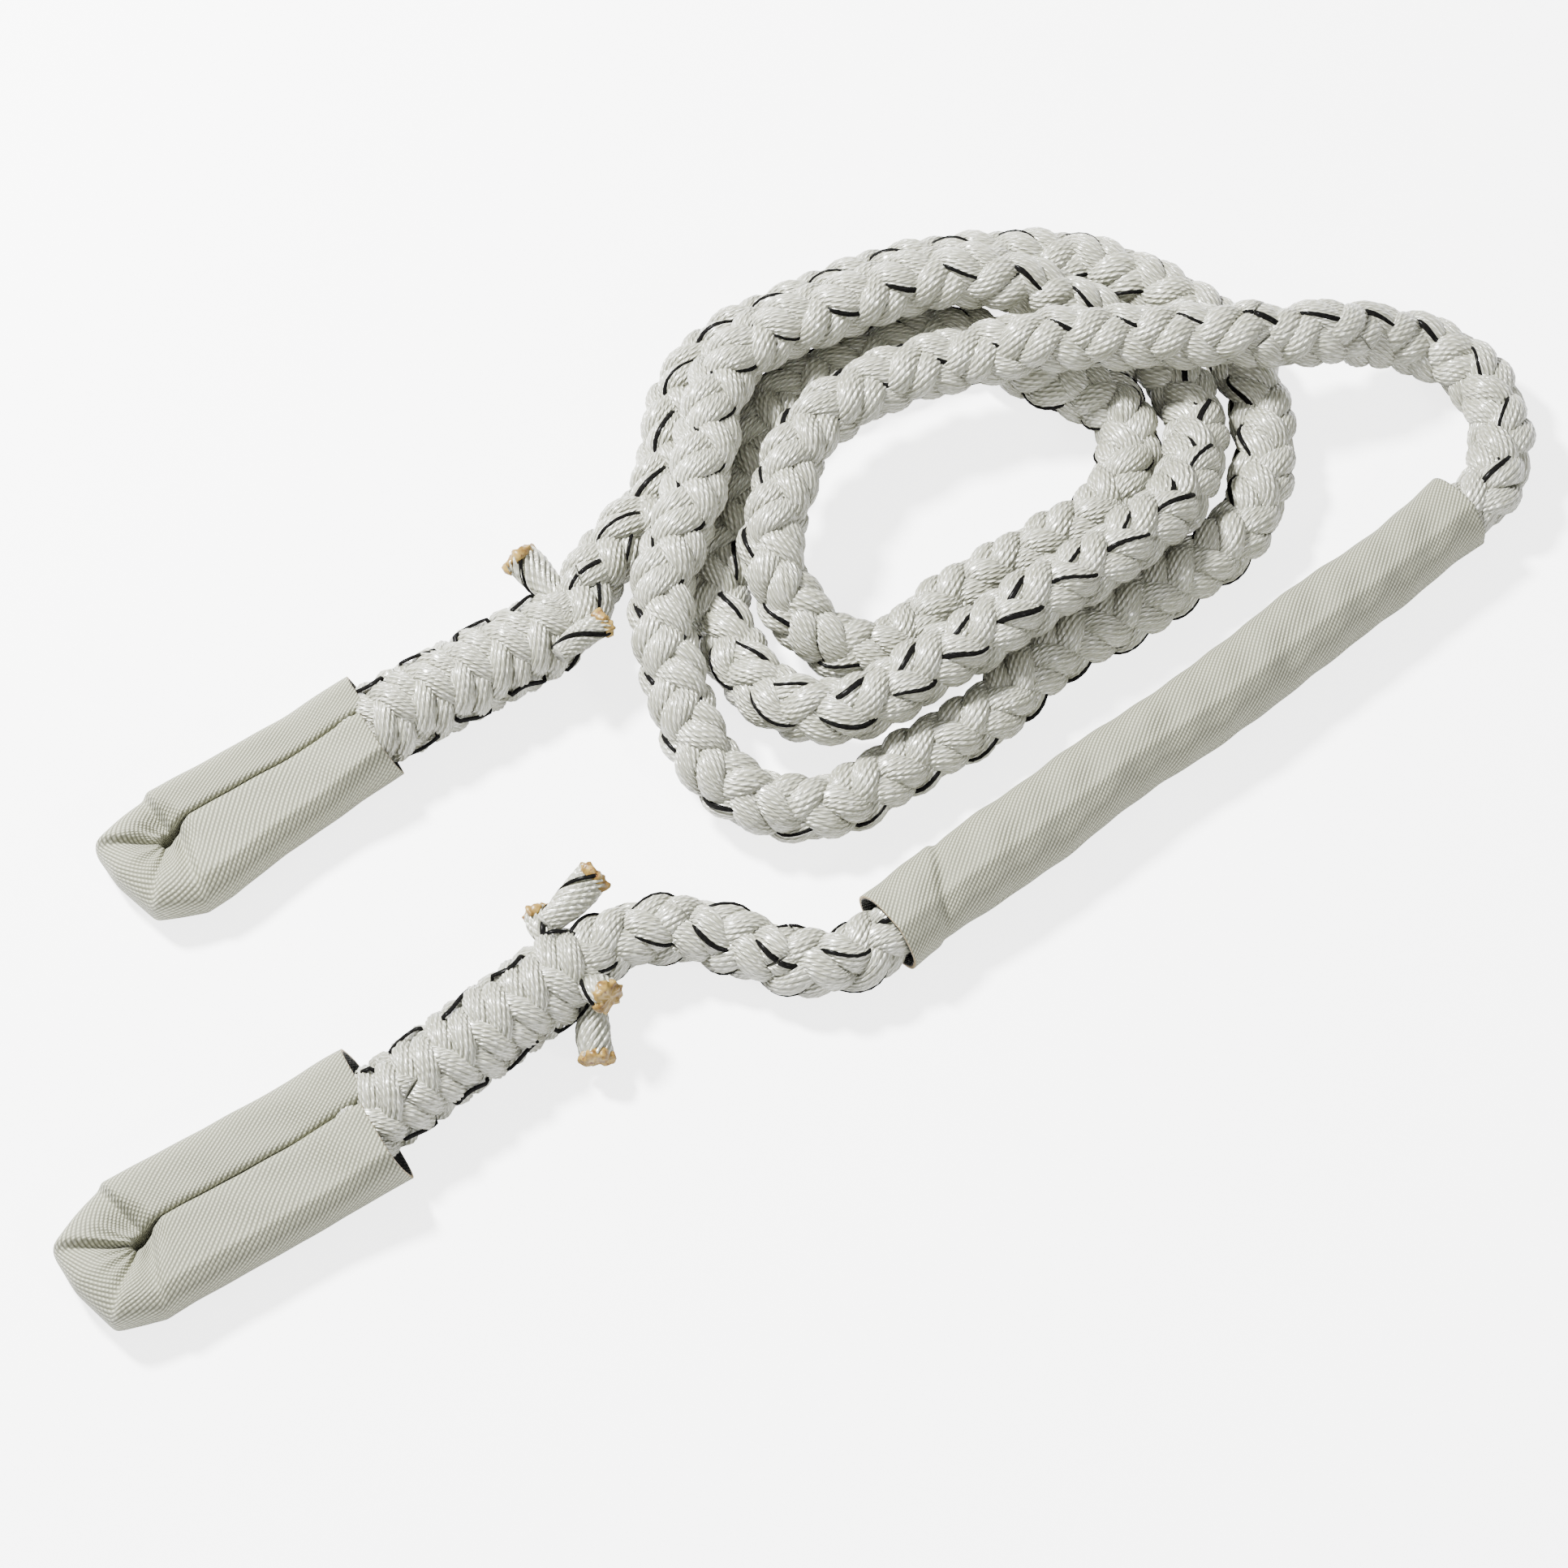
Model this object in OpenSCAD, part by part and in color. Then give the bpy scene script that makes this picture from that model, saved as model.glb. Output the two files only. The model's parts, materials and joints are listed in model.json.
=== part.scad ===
// Eight-strand plaited tow rope, laid down in a coil of three and a half turns.
// A spliced soft eye at each end wears a bent woven sleeve, and a long loose
// woven sleeve slides on the straight run. The origin is the middle of the rope's
// footprint on the surface that it rests on. +Z is up, and units are millimetres.

/* [Rope] */
// Diameter of one strand
strand_d = 6.4; // [6:0.1:6.4]
// Distance from the rope's centreline to each strand's centreline
strand_ring = 8.45; // [8.4:0.01:8.6]
// Height of the rope's centreline where it lies flat
rope_z = 12; // [11.7:0.1:13]
// Diameter of a black tracer yarn
tracer_d = 1.2; // [0.8:0.1:1.2]

/* [Coil] */
// Rise of a turn that lies on its neighbours
stack_rise = 20.5; // [20.5:0.5:22]
// Rise of the last turn where it crosses over the others
cross_rise = 27; // [27:0.5:28]

/* [Splices] */
// Length of the splice at eye A
splice_a_length = 72; // [60:1:72]
// Length of the splice at eye B
splice_b_length = 92; // [70:1:92]
// Distance from the splice's centreline to each tucked strand's centreline
tucked_ring = 13.4; // [13.4:0.1:13.6]
// Diameter of a tucked strand
tucked_d = 5.8; // [5.4:0.1:5.8]
// Height of the splices' centrelines
splice_z = 16.5; // [16.3:0.1:18]

/* [Eyes] */
// Length of eye A's sleeve from its mouth to the tip of the bend
eye_a_length = 98; // [80:1:110]
// Width of one leg of eye A's sleeve
eye_a_leg_w = 20; // [19:0.5:21]
// Length of eye B's sleeve from its mouth to the tip of the bend
eye_b_length = 108; // [80:1:118]
// Width of one leg of eye B's sleeve
eye_b_leg_w = 23.5; // [22:0.5:24]
// Height of both eye sleeves
eye_height = 22; // [21:0.5:24]
// Inner radius of the bend in both eyes
eye_hole_r = 3; // [2:0.25:4]

/* [Long sleeve] */
// Length of the long sleeve
sleeve_length = 258; // [200:1:258]
// Width of the long sleeve across its flat tube
sleeve_w = 30; // [29:0.5:31]
// Height of the long sleeve
sleeve_h = 27.6; // [27.4:0.1:28]

/* [Fabric] */
// Thickness of the woven outer face of every sleeve
fabric_t = 1.1; // [0.8:0.1:1.1]
// Thickness of the dark coating inside every sleeve
lining_t = 0.4; // [0.3:0.1:0.5]

/* [Hidden] */
strands = 8;
strand_step = 360 / strands;
hinge_gap = 6.6;           // room for one run of rope to bend against the next
eye_back = 3;              // an eye's mouth stands this far back from the start of its splice
tracer_ring = 9.9;         // a tracer yarn lies in the groove between two strands
fit_gap = 0.02;            // between a sleeve's outer face and its coating
bight_gap = 0.2;           // between the bight and its sleeve's coating
bight_strand_share = 0.274; // a bight strand's diameter, as a share of the room in one leg
flat_half = 3;             // half of the flat run between a sleeve's rounded corners
round_fn = 48;
bend_fn = 180;
bend_step = 22;            // largest turn, in degrees, between two rings of a swept strand
strand_sides = 6;
tracer_sides = 4;
tip_t = 1.6;               // thickness of a melted tip
tip_lip = 0.5;             // how far it spreads past the strand's edge
strand_white = [0.93, 0.93, 0.89];
tracer_black = [0.08, 0.08, 0.09];
fabric_beige = [0.80, 0.80, 0.74];
lining_black = [0.06, 0.06, 0.06];
melted_amber = [0.80, 0.68, 0.42];

// Everything is laid out from the coil's centre, then moved so that the middle of
// the whole footprint is the origin.
footprint_middle = [-47.2, -95.6, 0];

// ---- Places where one run of rope bends against the next: [position, heading] ----
neck_a = [[-121.5, -20, 14.5], 56];
coil_exit = [[122, 56, 34], 10];
neck_b = [[-80, -167.5, 13.5], 160];
eye_a_mouth = [-205, -91];
splice_a_heading = 31;
eye_a_heading = 32;
eye_b_mouth = [-199, -233];
splice_b_heading = 39;
eye_b_heading = 30.5;
sleeve_low_end = [-26.5, -165.5, sleeve_h / 2];
sleeve_heading = 38.3;
sleeve_high_run = 9;       // straight rope beyond the long sleeve at its upper end
sleeve_low_run = 10;       // and at its lower end

// ---- The coil, going round clockwise from the west in steps of 30 degrees ----
// Each row: outermost radius, distance between turns, lift of turns 1 and 3,
// lift of turns 2 and 4, with a lift of 1 for a turn that lies on its neighbours,
// and how far outward turns 2 and 4 lean there.
coil_shape = [
    [107, 15.5, 0, 1, 0],
    [107, 15.5, 0, 1, 0],
    [96, 14.5, 0, 1, -2],
    [98, 15, 0, 1, -2],
    [110, 24.5, 0, 0.45, 0],
    [117, 24.5, 0, 0, 0],
    [104, 25.5, 0, 0.65, 0],
    [76, 20.5, 0, 1, 5],
    [67, 18, 0, 1, 5],
    [89, 26, 0, 0.85, 2],
    [136, 33, 0.15, 0.6, -2],
    [119, 22.5, 0.75, 0.1, 0]];
coil_steps = len(coil_shape);
coil_points = 3 * coil_steps + 1;
coil_crossing = [
    [-52, 19, rope_z + stack_rise],
    [-28, 37, rope_z + stack_rise],
    [2, 47, rope_z + stack_rise],
    [34, 51, rope_z + cross_rise],
    [66, 52, rope_z + cross_rise],
    [97, 53, rope_z + cross_rise]];
lead_points = [[143, 61, 26], [164, 63, 16], [182, 54, 14], [191, 37, 14], [192, 20, 14]];
s_bend_points = [[-54, -176, 13.5]];

function unit(v) = v / norm(v);
function heading_vector(a) = [cos(a), sin(a), 0];
function coil_point(i) =
    let (row = coil_shape[i % coil_steps],
         turn = floor(i / coil_steps),
         odd = turn % 2,
         r = row[0] - turn * row[1] + odd * row[4],
         a = 180 - 360 / coil_steps * i,
         lift = odd == 0 ? row[2] : row[3])
    [r * cos(a), r * sin(a), rope_z + lift * stack_rise];

// ---- A smooth route through points, as pairs of circular arcs ----
// An arc is [start, heading, end, radius, inward normal, axis, angle]; radius 0 is a straight.
function arc(a, t, b) =
    let (c = b - a, across = c - (c * t) * t, s = norm(across))
    s < 0.0005 ? [a, t, b, 0] :
    let (n = across / s)
    [a, t, b, (c * c) / (2 * s), n, cross(t, n), 2 * atan2(s, c * t)];
function arc_end_heading(g) = g[3] == 0 ? g[1] : cos(g[6]) * g[1] + sin(g[6]) * g[4];
function arc_meeting(a, ta, b, tb) =
    let (v = b - a,
         k = 2 * (1 - ta * tb),
         vt = v * (ta + tb),
         d = k < 0.00001 ? (v * v) / (2 * vt) : (sqrt(vt * vt + k * (v * v)) - vt) / k)
    (a + b + d * (ta - tb)) / 2;
// The route is level at a point that is higher or lower than both of its neighbours.
function heading_at(a, b, c) =
    let (level = (b[2] - a[2]) * (c[2] - b[2]) <= 0)
    unit([c[0] - a[0], c[1] - a[1], level ? 0 : c[2] - a[2]]);
function route(points, t0, t1) =
    let (last = len(points) - 1,
         heading = [for (i = [0:last])
             i == 0 ? t0 : i == last ? t1 : heading_at(points[i - 1], points[i], points[i + 1])])
    [for (i = [0:last - 1])
        let (m = arc_meeting(points[i], heading[i], points[i + 1], heading[i + 1]),
             first = arc(points[i], heading[i], m))
        each [first, arc(m, arc_end_heading(first), points[i + 1])]];
function straight(a, b) = [[a, unit(b - a), b, 0]];

// ---- The four runs of rope ----
function after(neck) = neck[0] + hinge_gap / 2 * heading_vector(neck[1]);
function before(neck) = neck[0] - hinge_gap / 2 * heading_vector(neck[1]);
splice_a_start = [eye_a_mouth[0], eye_a_mouth[1], splice_z];
splice_a_end = splice_a_start + splice_a_length * heading_vector(splice_a_heading);
splice_b_start = [eye_b_mouth[0], eye_b_mouth[1], splice_z];
splice_b_end = splice_b_start + splice_b_length * heading_vector(splice_b_heading);
sleeve_high_end = sleeve_low_end + sleeve_length * heading_vector(sleeve_heading);
lead_straight_start = sleeve_high_end + sleeve_high_run * heading_vector(sleeve_heading);
lead_straight_end = sleeve_low_end - sleeve_low_run * heading_vector(sleeve_heading);

run_a = concat(
    straight(splice_a_start, splice_a_end),
    route([splice_a_end, before(neck_a)], heading_vector(splice_a_heading), heading_vector(neck_a[1])));
run_coil = route(
    concat([after(neck_a)], [for (i = [0:coil_points - 1]) coil_point(i)],
           coil_crossing, [before(coil_exit)]),
    heading_vector(neck_a[1]), heading_vector(coil_exit[1]));
run_lead = concat(
    route(concat([after(coil_exit)], lead_points, [lead_straight_start]),
          heading_vector(coil_exit[1]), heading_vector(sleeve_heading + 180)),
    straight(lead_straight_start, lead_straight_end),
    route(concat([lead_straight_end], s_bend_points, [before(neck_b)]),
          heading_vector(sleeve_heading + 180), heading_vector(neck_b[1])));
run_b = concat(
    route([after(neck_b), splice_b_end], heading_vector(neck_b[1]), heading_vector(splice_b_heading + 180)),
    straight(splice_b_end, splice_b_start));

// ---- Sweeping a yarn along a run ----
// A station is [position, heading, sideways direction]. The sideways direction turns
// with each arc and no more, so a yarn that keeps its place round the rope never twists.
function turned(u, g, part) = g[3] == 0 ? u :
    let (k = g[5], a = part * g[6])
    u * cos(a) + cross(k, u) * sin(a) + k * (k * u) * (1 - cos(a));
function arc_position(g, part) = g[3] == 0 ? g[0] + part * (g[2] - g[0]) :
    g[0] + g[3] * (g[4] - cos(part * g[6]) * g[4] + sin(part * g[6]) * g[1]);
function arc_heading(g, part) = turned(g[1], g, part);
function arc_steps(g) = g[3] == 0 ? 1 : ceil(g[6] / bend_step);
function stations(run, side, i = 0) =
    let (g = run[i], steps = arc_steps(g),
         here = [for (k = [0:steps - 1])
             [arc_position(g, k / steps), arc_heading(g, k / steps), turned(side, g, k / steps)]])
    i == len(run) - 1 ?
        concat(here, [[g[2], arc_heading(g, 1), turned(side, g, 1)]]) :
        concat(here, stations(run, turned(side, g, 1), i + 1));
function first_side(run) = unit(cross([0, 0, 1], run[0][1]));
function ring(station, around, out, r, sides) =
    let (across = station[2], up = cross(station[1], station[2]))
    [for (k = [0:sides - 1])
        let (a = around + k * 360 / sides)
        station[0] + (out * cos(around) + r * cos(a)) * across + (out * sin(around) + r * sin(a)) * up];

module yarn(run, around, out, d, sides) {
    line = stations(run, first_side(run));
    last = len(line) - 1;
    points = [for (station = line) each ring(station, around, out, d / 2, sides)];
    walls = [for (i = [0:last - 1], k = [0:sides - 1])
        let (a = i * sides + k, b = i * sides + (k + 1) % sides)
        each [[a, b, b + sides], [a, b + sides, a + sides]]];
    start_face = [[for (k = [sides - 1:-1:0]) k]];
    end_face = [[for (k = [0:sides - 1]) last * sides + k]];
    polyhedron(points, concat(start_face, [for (w = walls) [w[0], w[1], w[2]]], end_face), convexity = 10);
}

module strand(run, number) {
    color(strand_white) yarn(run, (number - 0.5) * strand_step, strand_ring, strand_d, strand_sides);
}

// Two tracer yarns, on opposite sides of the rope
module tracer_yarns(run) {
    color(tracer_black) for (around = [0, 180]) yarn(run, around, tracer_ring, tracer_d, tracer_sides);
}

// ---- Splices ----
module standing_strands(run) {
    for (number = [1:strands]) strand(run, number);
}

module tucked_strands(length, start, heading) {
    color(strand_white) translate(start) rotate([0, 90, heading])
        for (i = [0:strands - 1]) rotate([0, 0, i * strand_step])
            translate([tucked_ring, 0, 0]) cylinder(h = length, d = tucked_d, $fn = round_fn);
}

// Each stub: [distance along the splice, side angle seen from the eye, distance of its
// root from the splice's centreline, lean towards the coil, diameter, length]
splice_a_stubs = [[80, 97, 18, -13, 12, 12], [75, -130, 17, 107, 9, 14]];
splice_b_stubs = [[94, 115, 18, 80, 11, 16], [88, 80, 17.5, 10, 9, 8],
                  [85, -120, 18.2, 15, 11, 4], [80, -80, 19.6, -35, 11, 12]];

module at_stub(start, heading, stub) {
    translate(start + stub[0] * heading_vector(heading)) rotate([0, 0, heading])
        rotate([180 + stub[1], 0, 0]) translate([0, 0, stub[2]]) rotate([0, stub[3], 0]) children();
}

module tail_stubs(start, heading, stubs) {
    color(strand_white) for (stub = stubs) at_stub(start, heading, stub)
        cylinder(h = stub[5], d = stub[4], $fn = round_fn);
}

module melted_tips(start, heading, stubs) {
    color(melted_amber) for (stub = stubs) at_stub(start, heading, stub)
        translate([0, 0, stub[5] + fit_gap])
            cylinder(h = tip_t, d = stub[4] + 2 * tip_lip, $fn = round_fn);
}

// ---- Eyes: the rope's bight in a woven tube bent to a U ----
module flat_tube_section(w, h, inset) {
    r = min(w, h) / 2 - flat_half - inset / 2;
    x = w / 2 - inset - r;
    y = h / 2 - inset - r;
    for (sx = [-1, 1], sy = [-1, 1]) translate([sx * x, sy * y]) circle(r = r, $fn = round_fn);
    square([2 * (x + r), 2 * y], center = true);
    square([2 * x, 2 * (y + r)], center = true);
}

module tube_wall(w, h, outer, inner) {
    difference() {
        flat_tube_section(w, h, outer);
        flat_tube_section(w, h, inner);
    }
}

// Sweeps a section round the eye: two legs from the mouth, joined by half a turn
module around_eye(length, leg_w) {
    bend_r = eye_hole_r + leg_w / 2;
    leg = length - bend_r - leg_w / 2;
    translate([-leg, 0, 0]) rotate([0, 0, 90]) rotate_extrude(angle = 180, $fn = bend_fn)
        translate([bend_r, 0]) children();
    for (side = [-1, 1]) translate([-leg, side * bend_r, 0]) rotate([90, 0, 90])
        linear_extrude(leg) children();
}

module at_eye(mouth, heading) {
    translate([mouth[0], mouth[1], 0]) rotate([0, 0, heading])
        translate([-eye_back, 0, eye_height / 2]) children();
}

module eye_bight(mouth, heading, length, leg_w) {
    wall = fabric_t + lining_t + fit_gap + bight_gap;
    d = (leg_w - 2 * wall) * bight_strand_share;
    ring = d / 2 / sin(strand_step / 2) + fit_gap;
    color(strand_white) at_eye(mouth, heading) around_eye(length, leg_w)
        for (i = [0:strands - 1]) rotate((i + 0.5) * strand_step) translate([ring, 0]) circle(d = d, $fn = round_fn);
}

module eye_sleeve(mouth, heading, length, leg_w) {
    color(fabric_beige) at_eye(mouth, heading) around_eye(length, leg_w)
        tube_wall(leg_w, eye_height, 0, fabric_t);
}

module eye_lining(mouth, heading, length, leg_w) {
    color(lining_black) at_eye(mouth, heading) around_eye(length, leg_w)
        tube_wall(leg_w, eye_height, fabric_t + fit_gap, fabric_t + fit_gap + lining_t);
}

// ---- Long sleeve ----
module long_tube(outer, inner) {
    translate(sleeve_low_end) rotate([90, 0, 90 + sleeve_heading]) linear_extrude(sleeve_length)
        tube_wall(sleeve_w, sleeve_h, outer, inner);
}
module long_sleeve() { color(fabric_beige) long_tube(0, fabric_t); }
module long_sleeve_lining() { color(lining_black) long_tube(fabric_t + fit_gap, fabric_t + fit_gap + lining_t); }

module placed() { translate(-footprint_middle) children(); }

placed() strand(run_coil, 1);  // coil_strand_1
placed() strand(run_coil, 2);  // coil_strand_2
placed() strand(run_coil, 3);  // coil_strand_3
placed() strand(run_coil, 4);  // coil_strand_4
placed() strand(run_coil, 5);  // coil_strand_5
placed() strand(run_coil, 6);  // coil_strand_6
placed() strand(run_coil, 7);  // coil_strand_7
placed() strand(run_coil, 8);  // coil_strand_8
placed() tracer_yarns(run_coil);  // coil_tracer_yarns
placed() standing_strands(run_a);  // splice_a_standing_strands
placed() tucked_strands(splice_a_length, splice_a_start, splice_a_heading);  // splice_a_tucked_strands
placed() tail_stubs(splice_a_start, splice_a_heading, splice_a_stubs);  // splice_a_tail_stubs
placed() melted_tips(splice_a_start, splice_a_heading, splice_a_stubs);  // splice_a_melted_tips
placed() eye_bight(eye_a_mouth, eye_a_heading, eye_a_length, eye_a_leg_w);  // eye_a_bight_strands
placed() eye_sleeve(eye_a_mouth, eye_a_heading, eye_a_length, eye_a_leg_w);  // eye_a_sleeve
placed() eye_lining(eye_a_mouth, eye_a_heading, eye_a_length, eye_a_leg_w);  // eye_a_lining
placed() strand(run_lead, 1);  // lead_strand_1
placed() strand(run_lead, 2);  // lead_strand_2
placed() strand(run_lead, 3);  // lead_strand_3
placed() strand(run_lead, 4);  // lead_strand_4
placed() strand(run_lead, 5);  // lead_strand_5
placed() strand(run_lead, 6);  // lead_strand_6
placed() strand(run_lead, 7);  // lead_strand_7
placed() strand(run_lead, 8);  // lead_strand_8
placed() tracer_yarns(run_lead);  // lead_tracer_yarns
placed() long_sleeve();
placed() long_sleeve_lining();
placed() standing_strands(run_b);  // splice_b_standing_strands
placed() tucked_strands(splice_b_length, splice_b_start, splice_b_heading);  // splice_b_tucked_strands
placed() tail_stubs(splice_b_start, splice_b_heading, splice_b_stubs);  // splice_b_tail_stubs
placed() melted_tips(splice_b_start, splice_b_heading, splice_b_stubs);  // splice_b_melted_tips
placed() eye_bight(eye_b_mouth, eye_b_heading, eye_b_length, eye_b_leg_w);  // eye_b_bight_strands
placed() eye_sleeve(eye_b_mouth, eye_b_heading, eye_b_length, eye_b_leg_w);  // eye_b_sleeve
placed() eye_lining(eye_b_mouth, eye_b_heading, eye_b_length, eye_b_leg_w);  // eye_b_lining
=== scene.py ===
"""A white plaited tow rope lying in a coil, with a sleeved eye at each end and a long sliding sleeve."""

import json
import math

import bmesh
import bpy
import numpy as np
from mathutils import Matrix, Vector


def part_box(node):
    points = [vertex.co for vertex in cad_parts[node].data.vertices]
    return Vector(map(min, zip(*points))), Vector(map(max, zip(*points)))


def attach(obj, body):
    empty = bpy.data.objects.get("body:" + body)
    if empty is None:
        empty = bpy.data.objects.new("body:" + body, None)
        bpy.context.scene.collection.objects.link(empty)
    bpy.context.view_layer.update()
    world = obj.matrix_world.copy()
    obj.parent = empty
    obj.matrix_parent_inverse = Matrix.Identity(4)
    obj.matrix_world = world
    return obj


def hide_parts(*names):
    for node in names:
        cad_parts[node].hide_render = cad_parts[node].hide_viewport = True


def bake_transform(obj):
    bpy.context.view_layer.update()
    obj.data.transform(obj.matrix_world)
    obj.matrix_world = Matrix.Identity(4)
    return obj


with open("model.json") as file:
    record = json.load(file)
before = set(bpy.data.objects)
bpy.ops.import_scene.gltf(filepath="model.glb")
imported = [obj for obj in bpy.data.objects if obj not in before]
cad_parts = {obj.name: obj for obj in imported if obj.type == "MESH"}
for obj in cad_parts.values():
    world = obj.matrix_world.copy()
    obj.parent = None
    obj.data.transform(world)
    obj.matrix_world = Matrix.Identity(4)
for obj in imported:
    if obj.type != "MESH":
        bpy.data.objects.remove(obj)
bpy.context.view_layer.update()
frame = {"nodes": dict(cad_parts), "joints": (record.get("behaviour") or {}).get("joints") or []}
JOINTS = {j["name"]: j for j in frame["joints"]}
RNG = np.random.default_rng(7)

# ---------------------------------------------------------------- sizes, metres and radians
MM = 0.001

# the plait
WAYS = 4                     # strands turning each way round the rope
PITCH = 45.6 * MM            # one turn of a strand round the rope
PLAIT_RING = 6.5 * MM        # mean distance of a strand from the rope's middle
SPLICE_PITCH = 30 * MM       # one turn of a tucked strand round a splice
SPLICE_A_LENGTH = 84 * MM    # how far the tucked strands reach from each mouth
SPLICE_B_LENGTH = 98 * MM
SPLICE_TAPER = 13 * MM
FRONT_SIDE = math.radians(21)    # turn from straight up of the side that is seen from the front

# yarns of a strand
YARNS = 14                   # yarns seen round a strand
YARN_COLUMNS = 3             # mesh columns for each yarn
YARN_TURN = 0.21 / MM        # twist of the yarns, radians for each metre of strand
STRAND_PER_ROPE = 1.34       # length of strand in a length of rope
PLY = 2.1 * MM               # length of one turn of the plies in a yarn
STEP = 1.6 * MM              # mesh rings along the rope
FINE_STEP = 0.8 * STEP       # and along a tracer yarn

# black tracer yarns
TRACER_WIDE = 1.05 * MM      # half of a tracer yarn's width
TRACER_PROUD = 0.62 * MM     # how far it stands out of its strand
TRACER_SIDES = 8
EDGE_ANGLE = math.radians(68)    # of the tracer along each edge of a splice, from its front
EDGE_RING = 15 * MM          # its distance from the rope's middle where it is in sight
EDGE_SINK = 4 * MM           # how far it goes in where it is out of sight
EDGE_REPEAT = 21 * MM        # and how often it does so

# pieces of rope that span a joint
JOINT_HALF = 19 * MM         # half of such a piece's length
THROAT = 16 * MM             # how far such a piece at a mouth reaches along the splice
IN_SLEEVE = 5 * MM           # and into the sleeve
INTO_MOUTH = 16 * MM         # how far the rope's path goes on into a mouth
MOUTH_DROP = 3.5 * MM        # and how far it sinks there

# sleeves
FABRIC = 1.1 * MM            # thickness of the cloth
COATING = 0.4 * MM           # and of the coating inside it
COATING_GAP = 0.02 * MM
SECTION_POINTS = 72
ROWS = 400                   # sections round an eye sleeve
LONG_ROWS = 320              # and along the long sleeve
CREASE = 0.15 * MM           # half of the slit between an eye sleeve's two legs
FOLD_STEP = 0.5 * MM         # how sharply a fold drops
FOLD_REACH = 7 * MM          # how far the cloth takes to rise again
DEEPEST_FOLD = 0.4           # most that folds take off the cloth's height
OUTER_SHARE = 0.6            # of the outer edge's length, that a control row of an eye counts for at least
INNER_SHARPNESS = 11         # of the corners where an eye sleeve's two legs meet
MOUTH_SLANT = 6.5 * MM       # how far the bottom of a mouth stands out past its top
MOUTH_FLARE = 5.5 * MM       # how much higher a mouth is than the rest of its leg
HEEL = 20 * MM               # how far the bend's lower corner stands from the joint's line
BIGHT_SIDES = 12             # mesh columns of a strand inside an eye sleeve
BIGHT_START = 12             # sections of the sleeve between its mouth and those strands' ends
BIGHT_THICK = 0.27           # half of such a strand's thickness, for half of the room inside
KINK = 22 * MM               # from the long sleeve's lower mouth to the kink in it
RIPPLES = ((31, 19), (17, 41), (53, 27))     # lengths of the cloth's waves along and round a sleeve, in mm
GATHER_TALL = 0.24           # how much lower the rope is inside the long sleeve
GATHER_WIDE = 0.12           # and how much narrower

# tail ends of the splices
TAIL_RINGS = 30
TAIL_BURY = 7 * MM           # how far a tail end starts inside the splice
TAIL_TWIST = 0.15 / MM       # twist of its yarns
TAIL_FLAT = 0.86             # its thickness for each width


# ---------------------------------------------------------------- materials
class Nodes:
    """Short calls for building one material's node tree."""

    def __init__(self, name):
        self.material = bpy.data.materials.new(name)
        self.material.use_nodes = True
        self.tree = self.material.node_tree
        self.shader = next(n for n in self.tree.nodes if n.type == "BSDF_PRINCIPLED")

    def add(self, kind, inputs=None, **settings):
        node = self.tree.nodes.new(kind)
        for key, value in settings.items():
            setattr(node, key, value)
        for key, value in (inputs or {}).items():
            self.give(node.inputs[key], value)
        return node

    def give(self, socket, value):
        if isinstance(value, bpy.types.NodeSocket):
            self.tree.links.new(value, socket)
        else:
            socket.default_value = value

    def math(self, operation, a, b=0.0):
        node = self.tree.nodes.new("ShaderNodeMath")
        node.operation = operation
        self.give(node.inputs[0], a)
        self.give(node.inputs[1], b)
        return node.outputs[0]

    def noise(self, vector, scale, detail=3.0, roughness=0.55):
        settings = {"Vector": vector, "Scale": scale, "Detail": detail, "Roughness": roughness}
        return self.add("ShaderNodeTexNoise", settings).outputs["Fac"]

    def ramp(self, value, *stops):
        node = self.add("ShaderNodeValToRGB", {"Fac": value})
        elements = node.color_ramp.elements
        while len(elements) < len(stops):
            elements.new(0.5)
        for element, (place, colour) in zip(elements, stops):
            element.position = place
            element.color = (*colour, 1.0)
        return node.outputs["Color"]

    def mix(self, factor, a, b, blend="MIX"):
        node = self.add("ShaderNodeMix", data_type="RGBA", blend_type=blend)
        self.give(node.inputs["Factor"], factor)
        self.give(node.inputs[6], a)
        self.give(node.inputs[7], b)
        return node.outputs[2]

    def bump(self, height, strength, distance):
        settings = {"Height": height, "Strength": strength, "Distance": distance}
        return self.add("ShaderNodeBump", settings).outputs["Normal"]

    def uv(self):
        node = self.add("ShaderNodeTexCoord")
        parts = self.add("ShaderNodeSeparateXYZ", {"Vector": node.outputs["UV"]})
        return parts.outputs["X"], parts.outputs["Y"], node.outputs["Object"]

    def times(self, a, b):
        return self.math("MULTIPLY", a, b)

    def plus(self, a, b, share=1.0):
        """a and a share of b."""
        return self.math("ADD", a, b if share == 1.0 else self.times(b, share))

    def less(self, a, b):
        return self.math("SUBTRACT", a, b)

    def wave(self, turns):
        """Ridges from 0 to 1, one for each turn."""
        return self.plus(0.5, self.math("SINE", self.times(turns, 2 * math.pi)), 0.5)

    def streaks(self, u, v, along, across, detail, roughness=0.55):
        """Noise with given numbers of patches for each unit of u and of v."""
        stretched = self.add("ShaderNodeCombineXYZ", {"X": self.times(u, along), "Y": self.times(v, across)})
        return self.noise(stretched.outputs["Vector"], 1.0, detail, roughness)

    def finish(self, **inputs):
        for key, value in inputs.items():
            self.give(self.shader.inputs[key.replace("_", " ")], value)
        return self.material


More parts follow.
